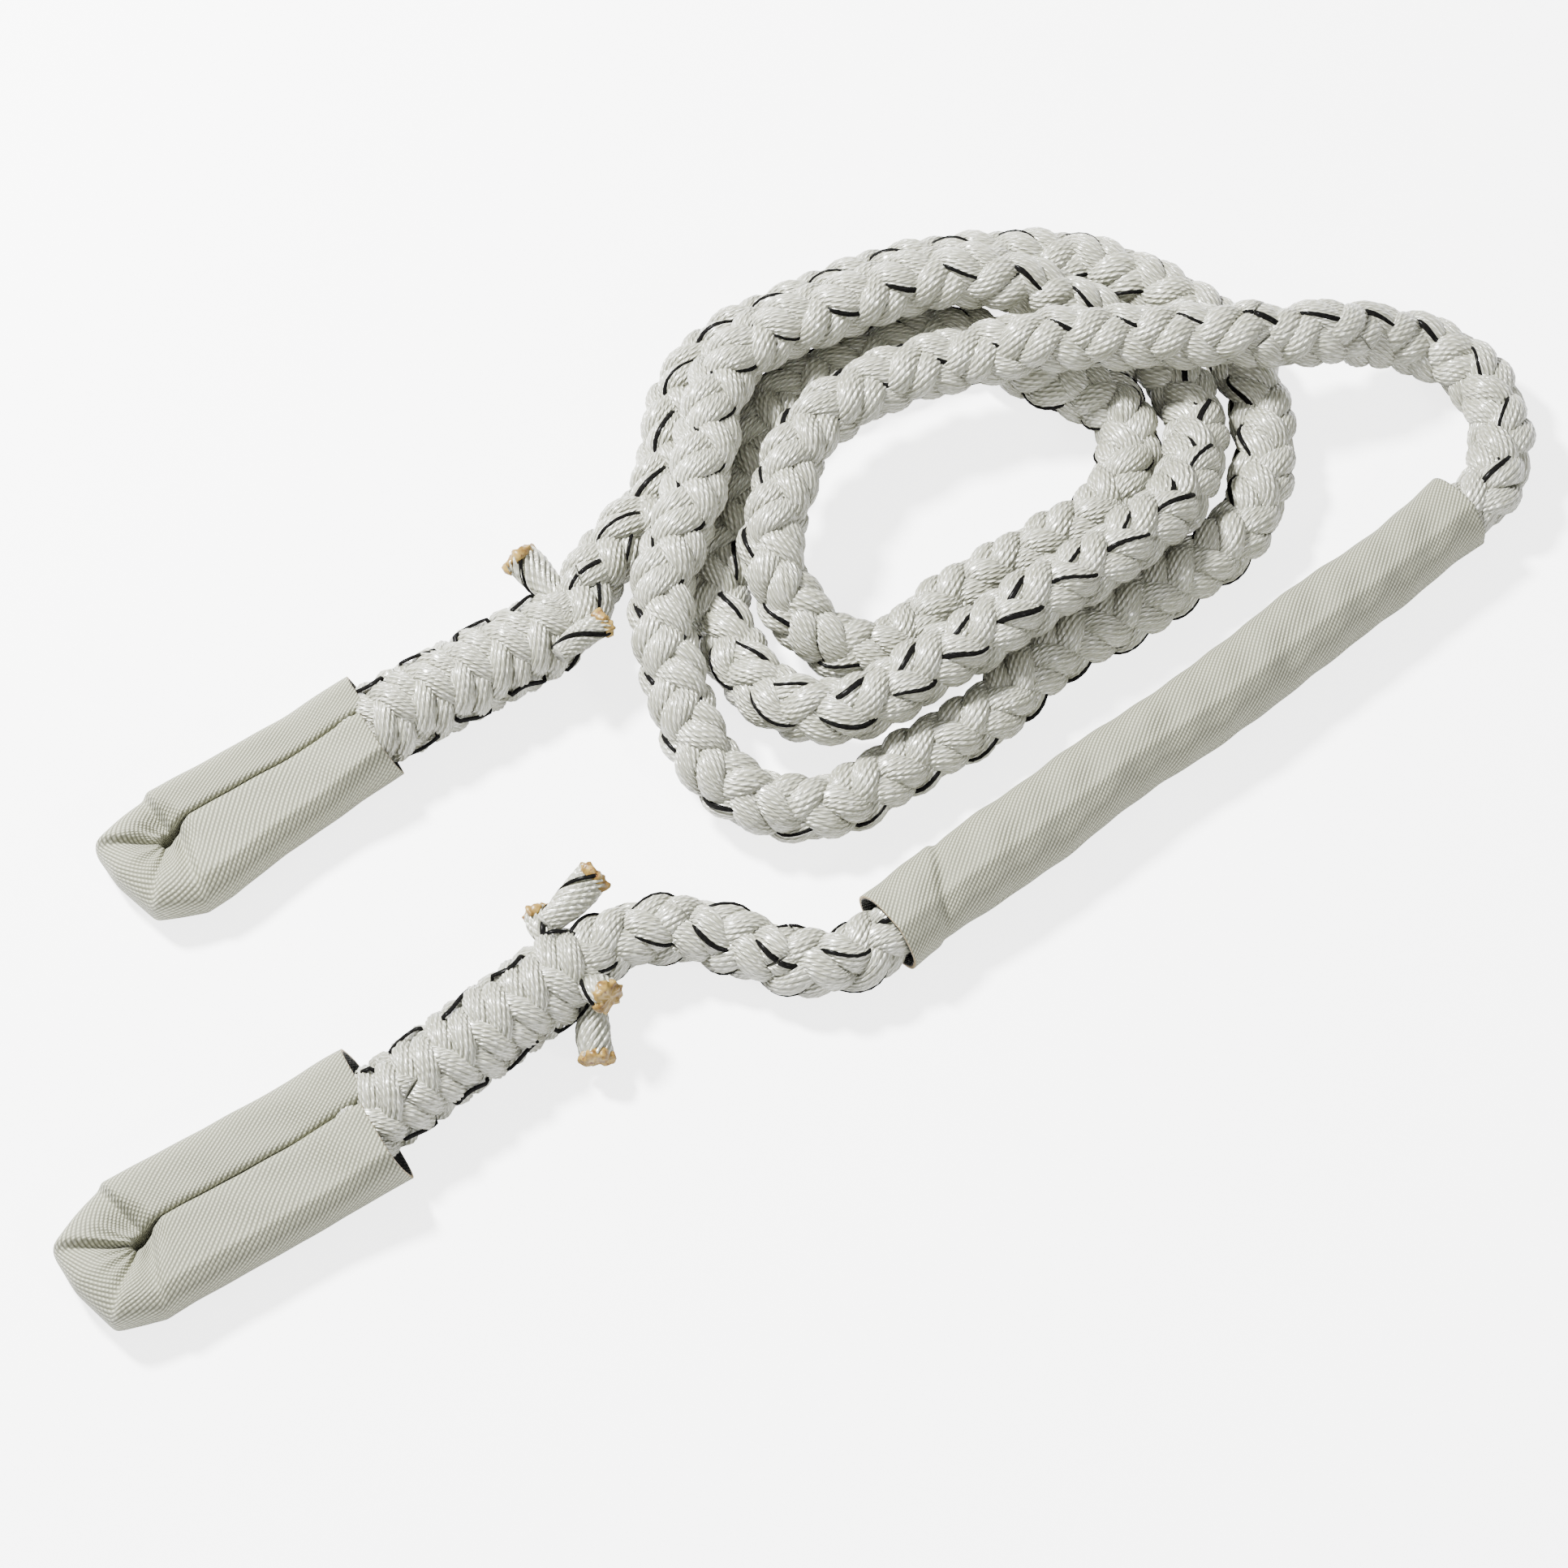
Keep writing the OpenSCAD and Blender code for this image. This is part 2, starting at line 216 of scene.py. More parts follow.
def fibre_material(name, dark, light, shade_and_mottle, highlight_tone, rough, sheen, shine):
    """Twisted filament yarn: silky streaks, a fine twist in each yarn and painted highlight flecks on its
    crown.
    U is length and V goes round. The shade colour is painted between yarns and plies and also darkens broad
    random patches; the highlight colour is painted on the flecks."""
    n = Nodes(name)
    u, v, place = n.uv()
    streak = n.streaks(u, v, 90.0, 46.0, 4.0, 0.62)
    fine = n.streaks(u, v, 420.0, 150.0, 2.0)
    cloud = n.noise(place, 38.0, 2.0)
    yarns = n.times(v, float(YARNS))
    crown = n.math("ABSOLUTE", n.math("SINE", n.times(yarns, math.pi)))
    ply = n.wave(n.plus(n.plus(n.math("FRACT", yarns), u, 1 / PLY), cloud, 3.0))
    # where shade is painted: the gaps between yarns
    yarn_gap_shade = n.math("POWER", n.less(1.0, crown), 2.5)
    # where highlights are painted: on the plies' crowns, in sparse streaks
    painted_glint = n.times(n.math("POWER", n.times(ply, crown), 1.5), n.ramp(streak, (0.47, DARK), (0.60, BRIGHT)))
    shade_and_mottle = (*shade_and_mottle, 1.0)
    tone = n.ramp(streak, (0.30, dark), (0.68, light))
    # painted shade between the yarns and between the plies, then the same dark colour in broad random patches
    tone = n.mix(n.times(yarn_gap_shade, 0.45), tone, shade_and_mottle)
    tone = n.mix(n.times(n.less(1.0, ply), 0.3), tone, shade_and_mottle)
    tone = n.mix(n.times(cloud, 0.25), tone, shade_and_mottle)
    # painted highlight: the flecks take a bright colour
    tone = n.mix(n.times(painted_glint, 0.8 * shine), tone, (*highlight_tone, 1.0))
    height = n.plus(n.times(crown, 0.3), n.times(ply, crown), 0.8)
    height = n.plus(height, fine, 0.25)
    return n.finish(
        Base_Color=tone,
        Roughness=n.plus(rough, fine, 0.2),
        Normal=n.bump(height, 0.95, 0.6 * MM),
        Sheen_Weight=sheen,
        Specular_IOR_Level=shine,
        Coat_Weight=0.8 * shine,
        Coat_Roughness=0.18,
        Anisotropic=0.5,
        Anisotropic_Rotation=0.25,
        Tangent=n.add("ShaderNodeTangent", direction_type="UV_MAP").outputs["Tangent"],
    )


def woven_material(name, thread, gap, warm, pitch, rough):
    """Flat woven webbing with a steep twill rib and painted shade in the gaps between its threads. U and V are
    metres along and round the sleeve.
    """
    n = Nodes(name)
    u, v, place = n.uv()
    wobble = n.times(n.noise(place, 160.0, 2.0), 1.3 / (2 * math.pi))
    rib = n.wave(n.plus(n.times(n.plus(n.times(u, 0.57), v, 0.82), 1 / pitch), wobble))
    pick = n.wave(n.plus(n.times(n.plus(n.times(u, 0.9), v, -0.45), 1 / (0.95 * pitch)), wobble))
    weave = n.plus(n.times(rib, 0.35), n.times(rib, pick), 0.65)
    fuzz = n.noise(place, 1500.0, 2.0)
    cloud = n.noise(place, 26.0, 3.0)
    # the gap colour is painted shade between the threads; the threads keep their own colour
    tone = n.mix(n.math("POWER", weave, 0.75), (*gap, 1.0), (*thread, 1.0))
    tone = n.mix(n.times(cloud, 0.4), tone, (*warm, 1.0), "MULTIPLY")
    return n.finish(
        Base_Color=tone,
        Roughness=n.plus(rough, fuzz, 0.15),
        Normal=n.bump(n.plus(weave, fuzz, 0.25), 0.9, 0.4 * MM),
        Sheen_Weight=0.15,
        Specular_IOR_Level=0.35,
    )


def melted_material(name):
    """Heat-sealed strand ends: glossy amber with scorched specks."""
    n = Nodes(name)
    _, _, place = n.uv()
    lumps = n.noise(place, 330.0, 3.0)
    specks = n.noise(place, 620.0, 2.0, 0.7)
    tone = n.ramp(lumps, (0.30, (0.12, 0.058, 0.010)), (0.62, (0.36, 0.235, 0.055)))
    tone = n.mix(n.ramp(specks, (0.60, DARK), (0.68, BRIGHT)), tone, (0.14, 0.06, 0.02, 1.0))
    return n.finish(
        Base_Color=tone,
        Roughness=n.plus(0.22, specks, 0.3),
        Normal=n.bump(lumps, 0.7, 0.8 * MM),
    )


def floor_material():
    """A white table that looks brighter to the camera than the light it sends to the rope."""
    n = Nodes("pale_floor")
    _, _, place = n.uv()
    tone = n.ramp(n.noise(place, 3.0), (0.3, (0.93, 0.93, 0.93)), (0.7, (0.95, 0.95, 0.95)))
    seen = n.add("ShaderNodeLightPath").outputs["Is Camera Ray"]
    return n.finish(
        Base_Color=tone,
        Roughness=0.9,
        Specular_IOR_Level=0.1,
        Emission_Color=(1.0, 1.0, 1.0, 1.0),
        Emission_Strength=n.times(seen, FLOOR_GLOW),
    )


DARK, BRIGHT = (0.0, 0.0, 0.0), (1.0, 1.0, 1.0)
FLOOR_GLOW = 3.4
# Each fibre material's third colour is painted shade between yarns and plies, and its fourth a painted
# highlight.
ROPE = fibre_material(
    "strand_white", dark=(0.33, 0.33, 0.245), light=(0.70, 0.70, 0.585), shade_and_mottle=(0.09, 0.088, 0.045),
    highlight_tone=(0.98, 0.98, 0.95), rough=0.14, sheen=0.05, shine=1.0)
BLACK = fibre_material(
    "tracer_black", dark=(0.003, 0.003, 0.003), light=(0.012, 0.011, 0.010), shade_and_mottle=(0.002, 0.002, 0.002),
    highlight_tone=(0.02, 0.02, 0.02), rough=0.65, sheen=0.0, shine=0.06)
# Each woven material's second colour is painted shade in the gaps between its threads.
SLEEVE = woven_material(
    "sleeve_fabric", thread=(0.52, 0.525, 0.405), gap=(0.10, 0.10, 0.065), warm=(0.88, 0.87, 0.78),
    pitch=1.3 * MM, rough=0.5)
LINING = woven_material(
    "lining_black", thread=(0.012, 0.012, 0.012), gap=(0.004, 0.004, 0.004), warm=(0.9, 0.9, 0.9),
    pitch=1.2 * MM, rough=0.8)
EDGE = woven_material(
    "cut_edge", thread=(0.50, 0.40, 0.22), gap=(0.26, 0.18, 0.08), warm=(0.9, 0.85, 0.8),
    pitch=0.9 * MM, rough=0.55)
AMBER = melted_material("melted_tip")


# ---------------------------------------------------------------- mesh helpers
TINY = 1e-12
UP = np.array([0.0, 0.0, 1.0])


def unit(rows):
    return rows / np.maximum(np.linalg.norm(rows, axis=-1, keepdims=True), TINY)


def circle(count):
    """Evenly spaced angles once round."""
    return 2 * math.pi * np.arange(count) / count


def measured(line):
    """Length along a line at each of its points."""
    return np.concatenate([[0], np.cumsum(np.linalg.norm(np.diff(line, axis=0), axis=1))])


def smoothstep(x):
    x = np.clip(x, 0, 1)
    return x * x * (3 - 2 * x)


def span(start, end, step=STEP):
    """Places about a step apart from start to end."""
    return np.linspace(start, end, max(4, int(round((end - start) / step)) + 1))


def cad_points(node):
    """Corner points of a CAD node's mesh."""
    mesh = frame["nodes"][node].data
    points = np.empty(len(mesh.vertices) * 3)
    mesh.vertices.foreach_get("co", points)
    return points.reshape(-1, 3)


def new_piece(name, points, faces, materials, uvs, face_slots=None):
    """A smooth mesh object. faces is a list of arrays, each of equal-sided faces.
    uvs has a row for each corner of each face, and face_slots a material number for each face."""
    mesh = bpy.data.meshes.new(name)
    sizes = np.concatenate([np.full(len(f), f.shape[1]) for f in faces])
    corners = np.concatenate([f.ravel() for f in faces])
    starts = np.concatenate([[0], np.cumsum(sizes)[:-1]])
    mesh.vertices.add(len(points))
    mesh.vertices.foreach_set("co", np.asarray(points, np.float32).ravel())
    mesh.loops.add(len(corners))
    mesh.loops.foreach_set("vertex_index", corners.astype(np.int32))
    mesh.polygons.add(len(sizes))
    mesh.polygons.foreach_set("loop_start", starts.astype(np.int32))
    mesh.polygons.foreach_set("use_smooth", np.ones(len(sizes), bool))
    if face_slots is not None:
        mesh.polygons.foreach_set("material_index", np.asarray(face_slots, np.int32))
    mesh.update(calc_edges=True)
    mesh.uv_layers.new(name="UVMap").data.foreach_set("uv", np.asarray(uvs, np.float32).ravel())
    for material in materials:
        mesh.materials.append(material)
    piece = bpy.data.objects.new(name, mesh)
    bpy.context.scene.collection.objects.link(piece)
    return piece


def side_faces(n, m):
    """Four-sided faces between n rings of m points."""
    column = np.arange(m)
    after = (column + 1) % m
    row = np.arange(n - 1)[:, None] * m
    return np.stack([row + column, row + after, row + m + after, row + m + column], -1).reshape(-1, 4)


def side_uvs(lengths, turns):
    """Corner UVs of those faces, from the rings' lengths and the seams' places round them."""
    n, m = len(lengths), len(turns) - 1
    u0, u1 = np.repeat(lengths[:-1], m), np.repeat(lengths[1:], m)
    v0, v1 = np.tile(turns[:-1], n - 1), np.tile(turns[1:], n - 1)
    return np.stack([u0, v0, u0, v1, u1, v1, u1, v0], -1).reshape(-1, 4, 2)


def tube_arrays(rings, lengths, offset):
    """Points, faces and corner UVs of a closed tube through (n, m, 3) rings."""
    n, m, _ = rings.shape
    caps = np.stack([np.arange(m)[::-1], np.arange(m) + (n - 1) * m])
    turns = np.arange(m + 1) / m
    caps_uv = np.concatenate([np.stack([np.full(m, lengths[i]), turns[:-1]], -1) for i in (0, -1)])
    side_uv = side_uvs(lengths, turns).reshape(-1, 2)
    return rings.reshape(-1, 3), side_faces(n, m) + offset, caps + offset, side_uv, caps_uv


def tubes(name, members, material):
    """One piece made of several closed tubes, each given as (rings, lengths)."""
    parts, count = [], 0
    for rings, lengths in members:
        parts.append(tube_arrays(rings, lengths, count))
        count += len(parts[-1][0])
    points, sides, caps, side_uvs, caps_uvs = zip(*parts)
    faces = [np.concatenate(sides), *caps]
    return new_piece(name, np.concatenate(points), faces, [material], np.concatenate(side_uvs + caps_uvs))


# ---------------------------------------------------------------- the rope's path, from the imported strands
WELD = 0.02 * MM             # corners nearer than this are one corner
FLAT = math.radians(0.6)     # faces that meet at less than this are one face
STRAND_SIDES = 6             # sides of a CAD strand
REGULAR = 1.1                # longest side of a regular face for its shortest


def welded(node):
    """A CAD node's mesh with its doubled corners joined and its flat faces merged."""
    mesh = bmesh.new()
    mesh.from_mesh(frame["nodes"][node].data)
    bmesh.ops.remove_doubles(mesh, verts=mesh.verts, dist=WELD)
    bmesh.ops.dissolve_limit(mesh, angle_limit=FLAT, verts=[], edges=mesh.edges)
    mesh.verts.index_update()
    return mesh


def is_cap(face):
    """True for the regular face that closes the end of a swept strand."""
    sides = [e.calc_length() for e in face.edges]
    return len(sides) == STRAND_SIDES and max(sides) < REGULAR * min(sides)


def ring_centres(cap):
    """Middles of a swept strand's rings, walking from its end cap to the far end."""
    ring = list(cap.verts)
    seen = set(ring)
    centres = []
    while ring:
        centres.append(np.mean([v.co for v in ring], axis=0))
        ring = {e.other_vert(v) for v in ring for e in v.link_edges} - seen
        ring = sorted(ring, key=lambda v: v.index)
        seen.update(ring)
    return centres


def stations(nodes, start):
    """Points along a run of rope, and the rope's direction at each, starting from the end nearest start."""
    strands = []
    for node in nodes:
        mesh = welded(node)
        caps = sorted(filter(is_cap, mesh.faces), key=lambda f: (f.calc_center_median() - start).length)
        strands += [ring_centres(cap) for cap in caps[:len(caps) // 2]]
        mesh.free()
    strands = np.array(strands)
    middle = strands.mean(axis=0)
    normal = np.array([np.linalg.svd(strands[:, k] - middle[k])[2][2] for k in range(len(middle))])
    ahead = np.gradient(middle, axis=0)
    return middle, normal * np.sign((normal * ahead).sum(1))[:, None]


def joint_point(name):
    return Vector(JOINTS[name]["pos_m"])


def strand_nodes(body):
    return [f"{body}_strand_{k + 1}" for k in range(2 * WAYS)]


RUNS = {
    "splice_a": stations(["splice_a_standing_strands"], joint_point("eye_a_lift")),
    "coil": stations(strand_nodes("coil"), joint_point("splice_a_swing")),
    "lead": stations(strand_nodes("lead"), joint_point("lead_swing")),
    "splice_b": stations(["splice_b_standing_strands"], joint_point("splice_b_swing")),
}


class Path:
    """The rope's middle line as a smooth curve measured by its length."""

    GRID = 0.5 * MM

    def __init__(self, points, heads):
        fine, marks = [], []
        for p, q, a, b in zip(points[:-1], points[1:], heads[:-1], heads[1:]):
            bend = math.acos(max(-1.0, min(1.0, float(a @ b))))
            pull = np.linalg.norm(q - p) * (1 + bend * bend / 24)
            t = np.linspace(0, 1, max(8, int(pull / self.GRID)), endpoint=False)[:, None]
            h = 2 * t**3 - 3 * t**2 + 1, t**3 - 2 * t**2 + t, 3 * t**2 - 2 * t**3, t**3 - t**2
            fine.append(h[0] * p + h[1] * pull * a + h[2] * q + h[3] * pull * b)
            marks.append(sum(len(f) for f in fine[:-1]))
        marks.append(sum(len(f) for f in fine))
        fine = np.concatenate(fine + [points[-1:]])
        self.s = np.concatenate([[0], np.cumsum(np.linalg.norm(np.diff(fine, axis=0), axis=1))])
        self.points = fine
        self.marks = self.s[marks]
        self.length = self.s[-1]
        self.heads = unit(np.gradient(fine, self.s, axis=0))

    def at(self, s):
        """Points, headings, up and side directions of the rope at lengths s."""
        point = np.stack([np.interp(s, self.s, column) for column in self.points.T], -1)
        head = unit(np.stack([np.interp(s, self.s, column) for column in self.heads.T], -1))
        up = unit(UP - head * head[:, 2:3])
        return point, head, up, np.cross(head, up)


def into_mouth(run, last):
    """One more station that carries the rope on into an eye's mouth, sinking to the sleeve's mid height."""
    points, heads = RUNS[run]
    point, head = (points[-1], heads[-1]) if last else (points[0], -heads[0])
    flat = unit(np.array([head[0], head[1], 0.0]))
    target = point + flat * INTO_MOUTH - UP * MOUTH_DROP
    return target[None], (flat if last else -flat)[None]


stretches = [into_mouth("splice_a", False), *RUNS.values(), into_mouth("splice_b", True)]
PATH = Path(*(np.concatenate(part) for part in zip(*stretches)))
ends = np.cumsum([len(points) for points, _ in stretches])
# lengths along the rope of its two mouths and of its three other joints
MOUTH_A, MOUTH_B = float(PATH.marks[1]), float(PATH.marks[-2])
NECK_A, COIL_EXIT, NECK_B = (float(PATH.marks[end - 1] + PATH.marks[end]) / 2 for end in ends[1:4])
SPLICE_A_END = MOUTH_A + SPLICE_A_LENGTH
SPLICE_B_END = MOUTH_B - SPLICE_B_LENGTH


def long_sleeve_frame():
    """Lower end, slide and sideways directions, length, width and height of the long sleeve's CAD tube."""
    slide = np.array(JOINTS["sleeve_slide"]["axis"])
    across = np.cross(UP, slide)
    points = cad_points("long_sleeve")
    low, high = (points @ slide).min(), (points @ slide).max()
    origin = slide * low + across * (points @ across).mean()
    return origin, slide, across, high - low, np.ptp(points @ across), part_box("long_sleeve")[1].z


def nearest_length(place):
    """Length along the rope of its point that is nearest to a place on the ground."""
    return float(PATH.s[np.argmin(np.linalg.norm(PATH.points[:, :2] - place[:2], axis=1))])


LONG = long_sleeve_frame()
LONG_LOW = nearest_length(LONG[0])
LONG_HIGH = nearest_length(LONG[0] + LONG[1] * LONG[3])


def gathered(s):
    """1 where the long sleeve holds the rope together, 0 beyond the places it slides over."""
    upper = smoothstep((s - LONG_HIGH + 15 * MM) / (14 * MM))
    lower = smoothstep((LONG_LOW + 2 * MM - s) / (15 * MM))
    return upper * lower


def splice_share(s):
    """1 where the rope is doubled by a splice and 0 on the plain rope."""
    a = smoothstep((SPLICE_A_END - s) / SPLICE_TAPER)
    b = smoothstep((s - SPLICE_B_END) / SPLICE_TAPER)
    return np.maximum(a, b)


def flatten(s):
    """Share of its height that the rope keeps where a sleeve presses it flat."""
    a = smoothstep((MOUTH_A + 10 * MM - s) / (15 * MM))
    b = smoothstep((s - MOUTH_B + 10 * MM) / (15 * MM))
    return 1 - 0.36 * np.maximum(a, b) - GATHER_TALL * gathered(s)


class Lay:
    """A round braid that follows the rope: half of its strands turn each way, each over two and under two."""

    LEAST_SWING = 0.4         # share of the weave, and of a strand's size, where the braid has not grown yet
    LEAST_SIZE = 0.3

    def __init__(self, ways, pitch, ring, weave, thick, wide, roll, share):
        self.ways = ways      # strands turning each way
        self.pitch = pitch
        self.ring = ring      # mean distance of a strand from the rope's middle
        self.weave = weave    # how far it swings in and out of that ring
        self.thick = thick    # half of a strand's thickness
        self.wide = wide      # half of its width
        self.roll = roll      # angle of the braid about the rope, from straight up, at rope lengths
        self.share = share    # how far it has grown from nothing, at rope lengths

    def line(self, s, hand, number):
        """Middle line of a strand, and its outward and sideways directions."""
        grown = self.share(s)
        theta = hand * 2 * math.pi * s / self.pitch + math.pi / self.ways * (1 + 2 * number)
        lean = math.pi / 4 * (1 if number % 2 else -1)
        swing = hand * self.weave * np.cos(self.ways / 2 * theta + lean)
        swing = swing * (self.LEAST_SWING + (1 - self.LEAST_SWING) * grown)
        r = PLAIT_RING + (self.ring - PLAIT_RING) * grown + swing
        angle = theta + self.roll(s)
        point, _, up, side = PATH.at(s)
        out = up * np.cos(angle)[:, None] + side * np.sin(angle)[:, None]
        line = point + out * r[:, None]
        tangent = unit(np.gradient(line, s, axis=0))
        out = unit(out - tangent * (out * tangent).sum(1)[:, None])
        return line, out, np.cross(tangent, out)

    def size(self, s):
        """Half thickness and half width of a strand."""
        grown = self.LEAST_SIZE + (1 - self.LEAST_SIZE) * self.share(s)
        return self.thick * grown, self.wide * grown


def plait_roll(s):
    """The plait's slow wandering about its axis, with its two columns mostly facing up."""
    return np.radians(-45 + 22 * np.sin(s / (115 * MM)) + 10 * np.sin(s / (47 * MM) + 1.3))


def front(s):
    """Angle about the rope, from straight up, of the side of a splice that is seen from the front."""
    return np.where(s < PATH.length / 2, FRONT_SIDE, -FRONT_SIDE)


def tucked_roll(s):
    """Turns the seam between two columns of tucked strands to the front."""
    return front(s) - math.radians(45)


PLAIT = Lay(WAYS, PITCH, PLAIT_RING, weave=2.5 * MM, thick=3.2 * MM, wide=4.9 * MM,
            roll=plait_roll, share=np.ones_like)
TUCKED = Lay(WAYS, SPLICE_PITCH, ring=9.9 * MM, weave=2.3 * MM, thick=3.7 * MM, wide=4.1 * MM,
             roll=tucked_roll, share=splice_share)
STRAND_COLUMNS = YARNS * YARN_COLUMNS

# how far each mesh column stands out, with grooves of uneven depth between yarns
YARN_SHAPE = np.where(np.arange(STRAND_COLUMNS) % YARN_COLUMNS == 0, 0.91, 1.015)
YARN_SHAPE = YARN_SHAPE + RNG.uniform(-0.03, 0.02, YARN_SHAPE.size)


def strand_rings(s, lay, hand, number):
    """Rings of one strand: an oval of twisted yarns whose mesh columns follow the yarns."""
    line, out, wide = lay.line(s, hand, number)
    thick, half = lay.size(s)
    run = measured(line)
    twist = -hand * YARN_TURN * STRAND_PER_ROPE * s
    a = circle(STRAND_COLUMNS) + twist[:, None]
    wobble = 1 + 0.03 * np.sin(run / (7 * MM) + number + hand)
    radial = (thick * wobble)[:, None] * np.cos(a) * YARN_SHAPE
    across = half[:, None] * np.sin(a) * YARN_SHAPE
    rings = line[:, None] + out[:, None] * radial[..., None] + wide[:, None] * across[..., None]
    return squashed(rings, s), run


def squashed(rings, s):
    """Rings pressed towards the rope's middle line where a sleeve holds it."""
    point, _, up, side = PATH.at(s)
    height = ((rings - point[:, None]) * up[:, None]).sum(-1, keepdims=True)
    offset = ((rings - point[:, None]) * side[:, None]).sum(-1, keepdims=True)
    rings = rings + up[:, None] * height * (flatten(s) - 1)[:, None, None]
    return rings - side[:, None] * offset * (GATHER_WIDE * gathered(s))[:, None, None]


def yarn_rings(middle, normal, beside, share=1.0):
    """Rings of a dark yarn along a line in a surface. share times TRACER_WIDE is half of its width."""
    around = circle(TRACER_SIDES)
    wide = TRACER_WIDE * np.sin(around) * np.reshape(share, (-1, 1))
    rings = middle[:, None] + normal[:, None] * (TRACER_PROUD * np.cos(around))[None, :, None]
    return rings + beside[:, None] * wide[..., None]


def surface_yarn(s, middle, normal, share=1.0):
    """Rings and lengths of a dark yarn along a line, from rough surface normals."""
    ahead = unit(np.gradient(middle, s, axis=0))
    normal = unit(normal - ahead * (normal * ahead).sum(1)[:, None])
    return squashed(yarn_rings(middle, normal, np.cross(ahead, normal), share), s), measured(middle)


def tracer_rings(s, lay, hand, number):
    """A dark yarn lying in the surface of one strand."""
    line, out, wide = lay.line(s, hand, number)
    thick, half = lay.size(s)
    a = -hand * YARN_TURN * STRAND_PER_ROPE * s
    normal = unit(out * (np.cos(a) / thick)[:, None] + wide * (np.sin(a) / half)[:, None])
    middle = line + out * (thick * np.cos(a))[:, None] + wide * (half * np.sin(a))[:, None]
    return surface_yarn(s, middle, normal, 0.82 + 0.25 * np.sin(s / (3.1 * MM) + number))


def edge_tracer(s, edge):
    """A dark yarn that comes up again and again along one edge of a splice."""
    point, _, up, side = PATH.at(s)
    angle = front(s) + edge * (EDGE_ANGLE + math.radians(11) * np.sin(s / (4.3 * MM) + edge))
    under = smoothstep((np.sin(2 * math.pi * s / EDGE_REPEAT + 2 * edge) - 0.35) / 0.3)
    r = EDGE_RING - EDGE_SINK * under - (EDGE_RING - PLAIT_RING) * (1 - splice_share(s))
    normal = up * np.cos(angle)[:, None] + side * np.sin(angle)[:, None]
    return surface_yarn(s, point + normal * r[:, None], normal)


# (hand, number) of the plain strands that hold a tracer yarn
TRACED = [(1, 0), (-1, 2), (1, 2), (-1, 0)]
LEAST_RINGS = 4              # a shorter stretch of strand is left out


def all_strands(s, lay):
    return [strand_rings(s, lay, hand, number) for hand in (1, -1) for number in range(lay.ways)]


def rope_section(name, s0, s1, place, replaced=()):
    """A short length of rope: its strands, the strands tucked round it, and its tracer yarns. replaced names
    the CAD nodes that the first two stand for."""
    s, fine = span(s0, s1), span(s0, s1, FINE_STEP)
    pieces = [(tubes(name + "_strands", all_strands(s, PLAIT), ROPE), "strand_white")]
    doubled = s[splice_share(s) > 0]
    if len(doubled) >= LEAST_RINGS:
        pieces.append((tubes(name + "_tucked_strands", all_strands(doubled, TUCKED), ROPE), "strand_white"))
    plain, dark = fine[splice_share(fine) < 0.5], []
    if len(plain) >= LEAST_RINGS:
        dark += [tracer_rings(plain, PLAIT, hand, number) for hand, number in TRACED]
    if len(doubled) >= LEAST_RINGS:
        dark += [edge_tracer(fine[splice_share(fine) > 0], edge) for edge in (1, -1)]
    pieces.append((tubes(name + "_tracer_yarns", dark, BLACK), "tracer_black"))
    for piece, slot in pieces:
        place(piece)
    for (piece, _), node in zip(pieces, replaced):
        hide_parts(node)


def long_section(body, s0, s1):
    """A long run of rope with one piece for each strand, standing for that body's CAD strands."""
    for k, member in enumerate(all_strands(span(s0, s1), PLAIT)):
        piece = tubes(f"{body}_plaited_strand_{k + 1}", [member], ROPE)
        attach(piece, body)
        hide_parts(f"{body}_strand_{k + 1}")
    fine = span(s0, s1, FINE_STEP)
    dark = [tracer_rings(fine, PLAIT, hand, number) for hand, number in TRACED]
    tracers = tubes(f"{body}_dark_yarns", dark, BLACK)
    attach(tracers, body)
    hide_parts(f"{body}_tracer_yarns")


def across_joint():
    """Placer for a rope piece between two bodies: it is fixed in place and rides on neither."""
    return lambda piece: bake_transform(piece)


def riding(body):
    """Placer for a rope piece that moves with one body."""
    return lambda piece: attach(piece, body)


rope_section("throat_a", MOUTH_A - IN_SLEEVE, MOUTH_A + THROAT, across_joint())
rope_section("splice_a", MOUTH_A + THROAT, NECK_A - JOINT_HALF, riding("splice_a"),
             ("splice_a_standing_strands", "splice_a_tucked_strands"))
rope_section("neck_a", NECK_A - JOINT_HALF, NECK_A + JOINT_HALF, across_joint())
long_section("coil", NECK_A + JOINT_HALF, COIL_EXIT - JOINT_HALF)
rope_section("coil_exit", COIL_EXIT - JOINT_HALF, COIL_EXIT + JOINT_HALF,
             across_joint())
long_section("lead", COIL_EXIT + JOINT_HALF, NECK_B - JOINT_HALF)
rope_section("neck_b", NECK_B - JOINT_HALF, NECK_B + JOINT_HALF, across_joint())
rope_section("splice_b", NECK_B + JOINT_HALF, MOUTH_B - THROAT, riding("splice_b"),
             ("splice_b_standing_strands", "splice_b_tucked_strands"))
rope_section("throat_b", MOUTH_B - THROAT, MOUTH_B + IN_SLEEVE, across_joint())

# ---------------------------------------------------------------- sleeves


def round_box(sharpness, ridges=(), inner=None):
    """Outline from -1 to 1 both ways, between an oval and a box, with soft ridges (angle, rise, spread).
    It starts at the side nearest +x and goes round through +z. inner is another sharpness for the -x side."""
    angle = circle(SECTION_POINTS)
    c, s = np.cos(angle), np.sin(angle)
    sharpness = np.where(c < 0, inner or sharpness, sharpness)
    size = (np.abs(c) ** sharpness + np.abs(s) ** sharpness) ** (-1 / sharpness)
    for place, rise, spread in ridges:
        gap = np.angle(np.exp(1j * (angle - math.radians(place))))
        size = size * (1 + rise * np.exp(-np.abs(gap) / math.radians(spread)))
    return np.stack([c * size, s * size], -1)


